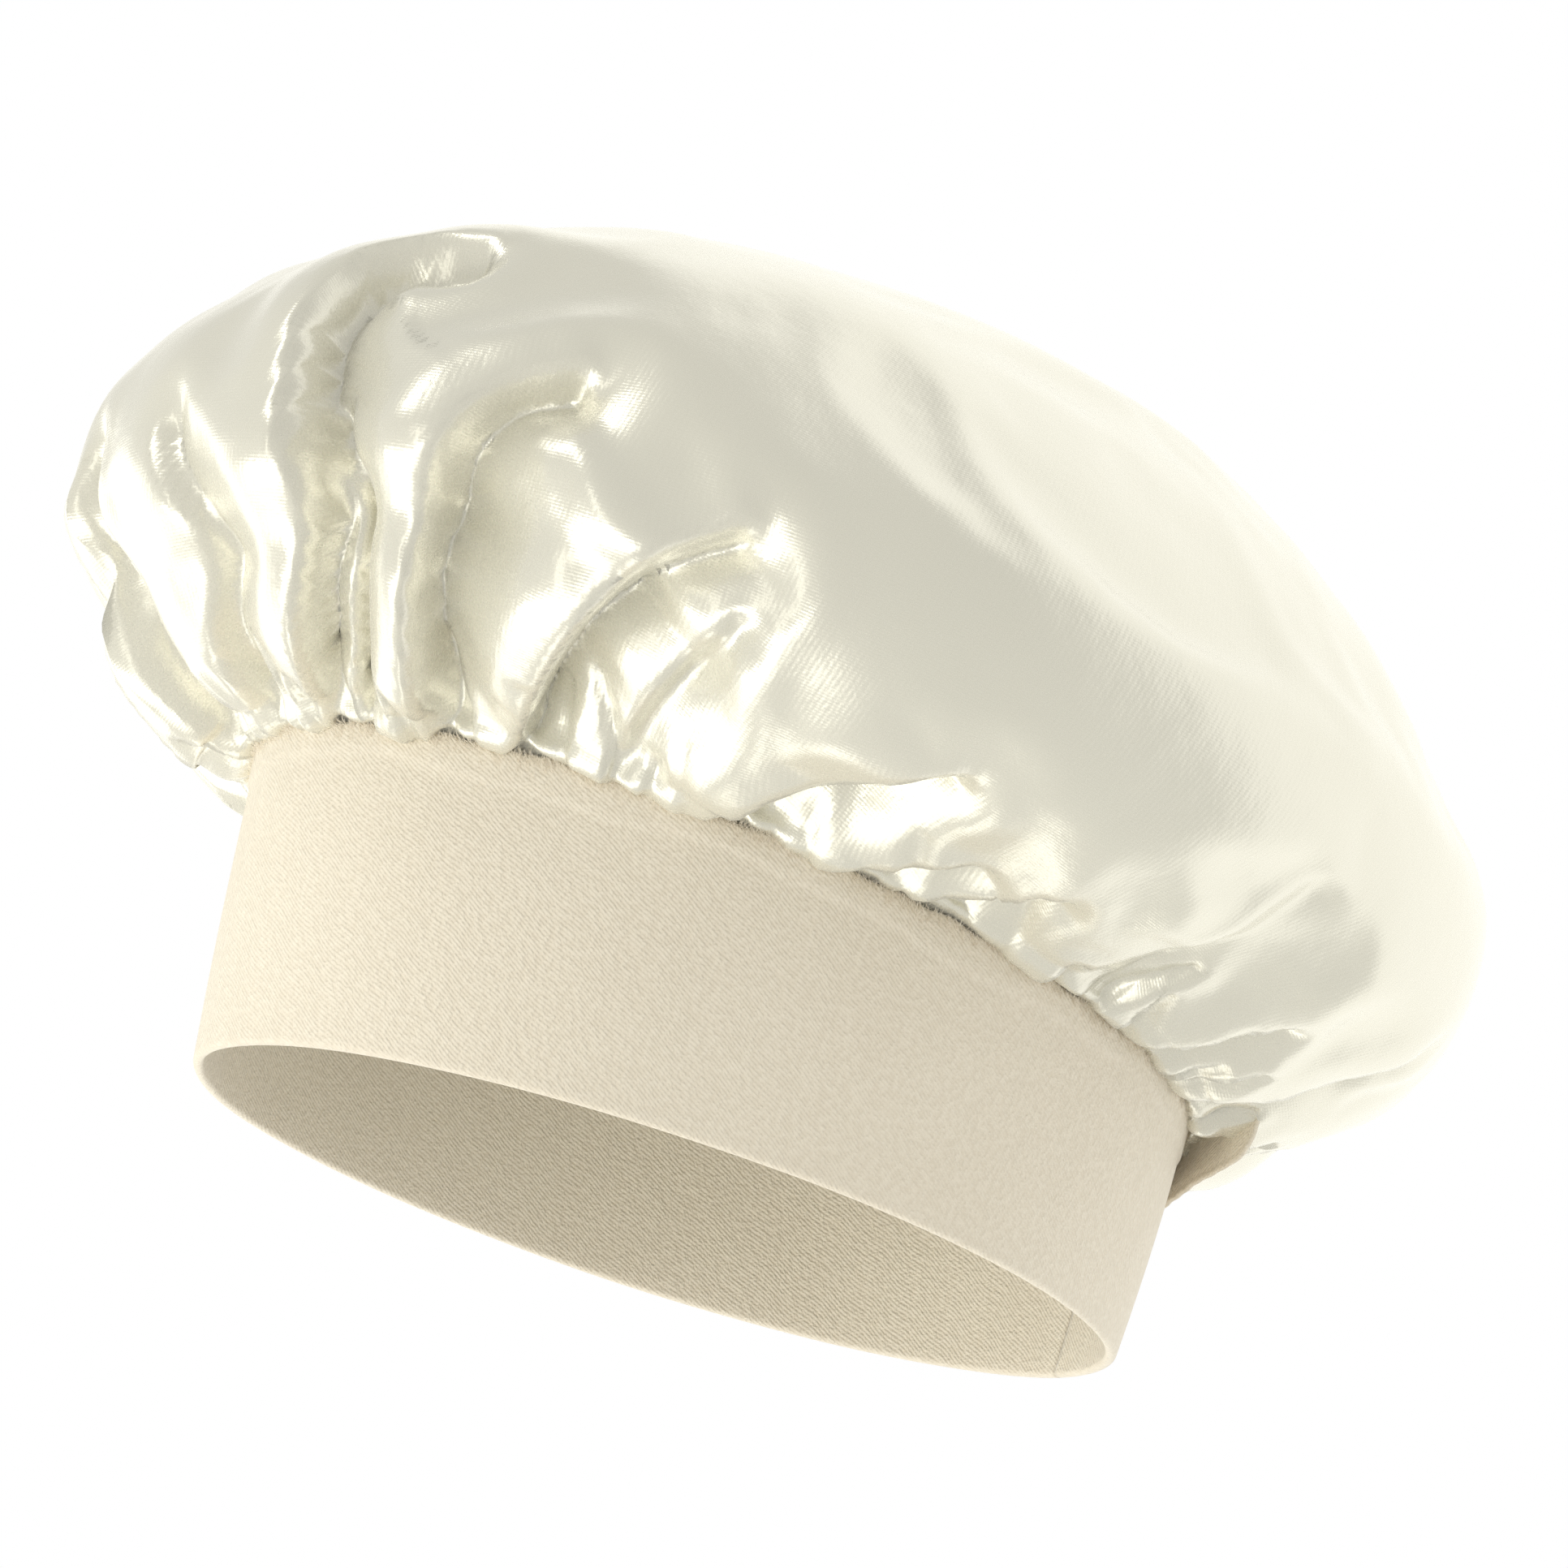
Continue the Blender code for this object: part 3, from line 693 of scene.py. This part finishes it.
def make_fuzz():
    """Short loose fibres along the band's top edge, where the crown comes out of it."""
    chance = np.random.default_rng(SEED + 1)
    points = []
    faces = []
    for _ in range(FUZZ_FIBRES):
        angle = chance.uniform(0, 2 * math.pi)
        below = abs(chance.normal(0, FUZZ_DEPTH))
        height = float(band_height(angle)) - BAND_TOP_TUCK + BAND_LIP - below
        proud = unevenness(np.array([angle]), height)[0, 0] + FUZZ_GAP
        length = chance.uniform(*FUZZ_LENGTH)
        lift = chance.uniform(0.2, 0.7) * length
        drift = chance.uniform(-0.7, 0.7) * length / OUTER_LENGTH
        rise = chance.uniform(-0.2, 0.9) * length
        foot = on_band(angle, proud, height)
        middle = on_band(angle + drift * 0.6, proud + lift * 0.8, height + rise * 0.4)
        tip = on_band(angle + drift, proud + lift, height + rise)
        side = np.array([-math.sin(angle), math.cos(angle), 0.4]) * FUZZ_WIDTH
        first = len(points)
        points += [foot - side, foot + side, middle + side * 0.7, middle - side * 0.7, tip]
        faces += [(first, first + 1, first + 2, first + 3), (first + 3, first + 2, first + 4)]
    return new_object("band_top_fuzz", points, faces)


# --- The closure tab ---


def tab_line(distance):
    """Where the tab runs, as in the CAD model: a point on the band's face and the way outwards."""
    angle = TAB_ROOT_ANGLE
    height = TAB_ROOT_HEIGHT + TAB_RISE * min(distance, TAB_LEAVES)
    for _ in range(TAB_STEPS):
        step = min(distance, TAB_LEAVES) / TAB_STEPS
        here = on_band(angle, 0, height)
        ahead = on_band(angle - TINY_TURN, 0, height)
        angle -= step / (np.linalg.norm(ahead - here) / TINY_TURN)
    here = Vector(on_band(angle, 0, height))
    ahead = (Vector(on_band(angle - TINY_TURN, 0, height)) - here).normalized()
    out = Vector((-ahead.y, ahead.x, 0))
    free = max(distance - TAB_LEAVES, 0)
    bend = GRIP_TURN * free / (TAB_LENGTH - TAB_LEAVES)
    here = here + (Matrix.Rotation(bend / 2, 3, "Z") @ ahead) * free
    out = Matrix.Rotation(bend, 3, "Z") @ out
    return Vector((here.x, here.y, TAB_ROOT_HEIGHT + TAB_RISE * distance)), out


def tab_lift(distance):
    """The tab lies on the band at its root and rides over the patches farther along."""
    climb = float(smoothstep(HINGE_FLAT, PATCH_START - HINGE_FLAT, distance))
    return SEWN_GAP + (TAB_OFFSET - SEWN_GAP) * climb


def tab_half_width(distance):
    """Half the tab's width: its far end is rounded."""
    past = max(distance - (TAB_LENGTH - TAB_CORNER), 0)
    return TAB_WIDTH / 2 - TAB_CORNER + math.sqrt(max(TAB_CORNER * TAB_CORNER - past * past, 0))


def make_tab():
    """A folded strip of twill with a sewn edge: a shallow groove runs just inside its outline."""
    straight = TAB_LENGTH - TAB_CORNER
    rounded = straight + TAB_CORNER * np.sin(np.linspace(0.1, math.pi / 2, 14))
    lengths = np.concatenate([np.linspace(0, straight, 90), rounded])
    half = TAB_CLOTH / 2
    section = [(s, half) for s in np.linspace(-0.94, 0.94, 25)] + [(1, 0)]
    section += [(s, -half) for s in np.linspace(0.94, -0.94, 25)] + [(-1, 0)]
    rows = []
    u_values = []
    v_values = []
    for distance in lengths:
        here, out = tab_line(distance)
        width = max(tab_half_width(distance), 0.0006)
        lift = tab_lift(distance) + half
        puff = sum(size * math.sin(distance * turns) for size, turns in TAB_RIPPLES)
        row = []
        for side, face in section:
            from_edge = min(width * (1 - abs(side)), TAB_LENGTH - distance)
            groove_share = math.exp(-(((from_edge - TAB_GROOVE) / TAB_GROOVE_WIDTH) ** 2))
            groove = TAB_GROOVE_DEPTH * groove_share
            outwards = lift + face + (puff - groove if face > 0 else groove + puff)
            row.append(here + out * outwards + Vector((0, 0, side * width)))
            u_values.append(distance)
            v_values.append(side * width)
        rows.append(row)
    count = len(section)
    faces = grid_faces(len(rows), count)
    faces.append(list(reversed(range(count))))
    faces.append([(len(rows) - 1) * count + c for c in range(count)])
    tab = new_object("closure_tab_twill", [p for row in rows for p in row], faces)
    add_uv(tab.data, "cloth", np.array(u_values), np.array(v_values))
    return tab


# --- Materials ---


class Nodes:
    """Short ways to add and join nodes in one material."""

    def __init__(self, name):
        self.material = bpy.data.materials.new(name)
        self.material.use_nodes = True
        self.tree = self.material.node_tree
        self.shader = self.tree.nodes["Principled BSDF"]

    def add(self, kind, inputs=None, **settings):
        node = self.tree.nodes.new(kind)
        for key, value in settings.items():
            setattr(node, key, value)
        for key, value in (inputs or {}).items():
            if isinstance(value, bpy.types.NodeSocket):
                self.tree.links.new(value, node.inputs[key])
            else:
                node.inputs[key].default_value = value
        return node

    def math(self, operation, a, b, c=0.0):
        return self.add("ShaderNodeMath", {0: a, 1: b, 2: c}, operation=operation).outputs[0]

    def spread(self, value, source, target):
        """A value from one range of numbers mapped onto another."""
        inputs = {"Value": value, "From Min": source[0], "From Max": source[1],
                  "To Min": target[0], "To Max": target[1]}
        return self.add("ShaderNodeMapRange", inputs).outputs["Result"]

    def noise(self, vector, scale, detail=2.0):
        node = self.add("ShaderNodeTexNoise", {"Vector": vector, "Scale": scale, "Detail": detail})
        return node.outputs["Fac"]

    def bands(self, vector, pitch, turn):
        """Sine bands this far apart, turned by this angle."""
        mapped = self.add("ShaderNodeMapping", {"Vector": vector, "Rotation": (0, 0, turn)})
        scale = math.tau / pitch / 20
        wave = self.add("ShaderNodeTexWave", {"Vector": mapped.outputs[0], "Scale": scale},
                        wave_type="BANDS", bands_direction="X")
        return wave.outputs["Fac"]

    def colour(self, share, dark, light):
        ramp = self.add("ShaderNodeMix", {"Factor": share}, data_type="RGBA")
        ramp.inputs["A"].default_value = (*dark, 1)
        ramp.inputs["B"].default_value = (*light, 1)
        return ramp.outputs["Result"]

    def bump(self, height, distance, strength=1.0, under=None):
        inputs = {"Height": height, "Distance": distance, "Strength": strength}
        if under is not None:
            inputs["Normal"] = under
        return self.add("ShaderNodeBump", inputs).outputs["Normal"]

    def feed(self, name, value):
        if isinstance(value, bpy.types.NodeSocket):
            self.tree.links.new(value, self.shader.inputs[name])
        else:
            self.shader.inputs[name].default_value = value


def satin_material():
    """Ivory satin: fine floats of thread along the cloth, and a soft broad gloss."""
    made = Nodes("ivory_satin_cloth")
    place = made.add("ShaderNodeTexCoord").outputs["Object"]
    cloth = made.add("ShaderNodeUVMap", uv_map="cloth").outputs[0]
    broad = made.noise(place, 22.0, 3.0)
    grain = made.noise(place, 1400.0, 2.0)
    threads = made.bands(cloth, *SATIN_THREADS)
    ribs = made.bands(cloth, *SATIN_RIBS)
    weave = made.math("ADD", grain, made.math("MULTIPLY", made.math("ADD", threads, ribs), 0.35))
    tone = made.math("ADD", made.math("MULTIPLY", broad, 0.6), made.math("MULTIPLY", weave, 0.16))
    made.feed("Base Color", made.colour(tone, SATIN_DARK, SATIN_LIGHT))
    made.feed("Roughness", made.spread(grain, (0, 1), SATIN_ROUGHNESS))
    made.feed("Metallic", SATIN_METAL)
    made.feed("Specular IOR Level", 0.9)
    made.feed("Sheen Weight", 0.15)
    made.feed("Sheen Roughness", 0.5)
    soft = made.bump(made.noise(place, 70.0, 5.0), 0.0012, 0.35)
    made.feed("Normal", made.bump(weave, 0.00005, 0.6, soft))
    return made.material


def twill_material(name, dark, light):
    """Cream twill: diagonal rows of small raised threads, with slubs and a soft nap."""
    made = Nodes(name)
    place = made.add("ShaderNodeTexCoord").outputs["Object"]
    cloth = made.add("ShaderNodeUVMap", uv_map="cloth").outputs[0]
    rows = made.bands(cloth, *TWILL_ROWS)
    cross = made.bands(cloth, *TWILL_CROSSING)
    weave = made.math("MULTIPLY", rows, made.math("MULTIPLY_ADD", cross, 0.6, 0.4))
    slubs = made.spread(made.noise(place, 800.0, 2.0), (0.36, 0.64), (0, 1))
    broad = made.noise(place, 28.0, 4.0)
    height = made.math("ADD", made.math("MULTIPLY", weave, 0.6), made.math("MULTIPLY", slubs, 0.8))
    tone = made.math("ADD", made.math("MULTIPLY", height, 0.42), made.math("MULTIPLY", broad, 0.38))
    made.feed("Base Color", made.colour(tone, dark, light))
    made.feed("Roughness", 0.82)
    made.feed("Sheen Weight", 0.35)
    made.feed("Sheen Roughness", 0.45)
    soft = made.bump(broad, 0.0016, 0.4)
    made.feed("Normal", made.bump(height, 0.0003, 0.6, soft))
    return made.material


def thread_material():
    """Twisted sewing thread."""
    made = Nodes("cream_sewing_thread")
    place = made.add("ShaderNodeTexCoord").outputs["Object"]
    turned = made.add("ShaderNodeMapping", {"Vector": place, "Rotation": (0.5, 0.6, 0.7)})
    twist = made.noise(turned.outputs[0], 2600.0, 1.0)
    made.feed("Base Color", made.colour(twist, THREAD_DARK, THREAD_LIGHT))
    made.feed("Roughness", 0.55)
    made.feed("Sheen Weight", 0.2)
    made.feed("Normal", made.bump(twist, 0.0001, 0.6))
    return made.material


def tape_material(name, spacing, tallness):
    """Hook or loop tape: small tufts this far apart and this tall."""
    made = Nodes(name)
    place = made.add("ShaderNodeTexCoord").outputs["Object"]
    tufting = {"Vector": place, "Scale": 1 / spacing, "Randomness": 0.45}
    tufts = made.add("ShaderNodeTexVoronoi", tufting)
    height = made.math("SUBTRACT", 1.0, tufts.outputs["Distance"])
    made.feed("Base Color", made.colour(height, TAPE_DARK, TAPE_LIGHT))
    made.feed("Roughness", 0.9)
    made.feed("Sheen Weight", 0.4)
    made.feed("Normal", made.bump(height, tallness, 0.9))
    return made.material


def interfacing_material():
    """Pressed fibres without a weave."""
    made = Nodes("pressed_interfacing")
    place = made.add("ShaderNodeTexCoord").outputs["Object"]
    fibres = made.noise(place, 700.0, 6.0)
    made.feed("Base Color", made.colour(fibres, INTERFACING_DARK, INTERFACING_LIGHT))
    made.feed("Roughness", 0.92)
    made.feed("Normal", made.bump(fibres, 0.0002, 0.5))
    return made.material


# --- Lights ---


def from_camera(direction):
    """A direction given right, up and back of the camera, as one in the hat's frame."""
    right, up, back = view_axes()
    return (right * direction[0] + up * direction[1] + back * direction[2]).normalized()


def area_light(name, direction, size, radiance):
    """A soft box in this direction (right, up and back of the camera), facing the hat."""
    up = view_axes()[1]
    away = from_camera(direction)
    data = bpy.data.lights.new(name, "AREA")
    data.shape = "RECTANGLE"
    data.size, data.size_y = size
    data.energy = radiance * math.pi * size[0] * size[1]
    data.color = LIGHT_COLOUR
    light = bpy.data.objects.new(name, data)
    bpy.context.scene.collection.objects.link(light)
    place = Vector(LIT_POINT) + away * LIGHT_DISTANCE
    across = up.cross(away).normalized()
    facing = Matrix((across, away.cross(across), away)).transposed().to_4x4()
    light.matrix_world = Matrix.Translation(place) @ facing


def light_scene():
    """Soft boxes in a pale room with one brighter side; the camera itself sees plain white."""
    world = bpy.data.worlds.new("studio")
    bpy.context.scene.world = world
    world.use_nodes = True
    tree = world.node_tree
    where = tree.nodes.new("ShaderNodeTexCoord")
    facing = tree.nodes.new("ShaderNodeVectorMath")
    facing.operation = "DOT_PRODUCT"
    facing.inputs[1].default_value = from_camera(BRIGHT_SIDE)
    tree.links.new(where.outputs["Generated"], facing.inputs[0])
    level = tree.nodes.new("ShaderNodeMapRange")
    level.interpolation_type = "SMOOTHSTEP"
    level.inputs["From Min"].default_value = ROOM_TURNS[0]
    level.inputs["From Max"].default_value = ROOM_TURNS[1]
    level.inputs["To Min"].default_value = ROOM_DARK
    level.inputs["To Max"].default_value = ROOM_BRIGHT
    tree.links.new(facing.outputs["Value"], level.inputs["Value"])
    room = tree.nodes["Background"]
    room.inputs["Color"].default_value = (*ROOM_COLOUR, 1)
    tree.links.new(level.outputs["Result"], room.inputs["Strength"])
    backdrop = tree.nodes.new("ShaderNodeBackground")
    backdrop.inputs["Color"].default_value = (1, 1, 1, 1)
    choice = tree.nodes.new("ShaderNodeMixShader")
    seen = tree.nodes.new("ShaderNodeLightPath")
    tree.links.new(seen.outputs["Is Camera Ray"], choice.inputs[0])
    tree.links.new(room.outputs[0], choice.inputs[1])
    tree.links.new(backdrop.outputs[0], choice.inputs[2])
    tree.links.new(choice.outputs[0], tree.nodes["World Output"].inputs["Surface"])
    bpy.context.scene.view_settings.view_transform = "Standard"
    for light in SOFT_BOXES:
        area_light(*light)


def give(piece, finish, body, node):
    """Put a finish on a new piece that stands for a CAD node and moves with a body."""
    piece.data.materials.clear()
    piece.data.materials.append(finish)
    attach(piece, body)
    if node:
        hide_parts(node)


def dress(names, finish):
    """Put a finish on CAD nodes whose shape is right."""
    for name in names:
        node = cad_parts[name]
        node.data.materials.clear()
        node.data.materials.append(finish)
        for face in node.data.polygons:
            face.use_smooth = True


def make_floor():
    """A plain pale floor under the band. It shows from above only: the main view is from below."""
    side = FLOOR_SIDE / 2
    corners = [(-side, -side, FLOOR_HEIGHT), (side, -side, FLOOR_HEIGHT),
               (side, side, FLOOR_HEIGHT), (-side, side, FLOOR_HEIGHT)]
    floor = new_object("floor", corners, [(0, 1, 2, 3)], smooth=False)
    made = Nodes("pale_floor")
    place = made.add("ShaderNodeTexCoord").outputs["Object"]
    soft = made.noise(place, 3.0, 2.0)
    made.feed("Base Color", made.colour(soft, FLOOR_DARK, FLOOR_LIGHT))
    made.feed("Roughness", 0.8)
    below = made.add("ShaderNodeNewGeometry").outputs["Backfacing"]
    clear = made.add("ShaderNodeBsdfTransparent").outputs[0]
    mixed = made.add("ShaderNodeMixShader", {0: below, 1: made.shader.outputs[0], 2: clear})
    made.tree.links.new(mixed.outputs[0], made.tree.nodes["Material Output"].inputs["Surface"])
    floor.data.materials.append(made.material)
    floor.visible_shadow = False
    floor.visible_glossy = False
    floor.visible_diffuse = False


add_camera()
light_scene()
make_floor()
twill = twill_material("cream_twill_cloth", TWILL_DARK, TWILL_LIGHT)
crown = make_crown()
give(crown, satin_material(), "hat", "crown")
band = make_band()
give(band, twill, "hat", "band")
fibres = twill_material("twill_fibres", TWILL_DARK, TWILL_LIGHT)
give(make_fuzz(), fibres, "hat", None)
tab = make_tab()
give(tab, twill, "tab", "closure_tab")
threads = ["crown_seam_thread", "gathering_thread", "overlock_thread",
           "left_end_stitching", "right_end_stitching", "hook_patch_stitching",
           "loop_patch_stitching", "tab_root_stitching"]
dress(threads, thread_material())
dress(["hook_patch"], tape_material("hook_tape", *HOOK_TAPE))
dress(["loop_patch"], tape_material("loop_tape", *LOOP_TAPE))
dress(["band_interfacing"], interfacing_material())
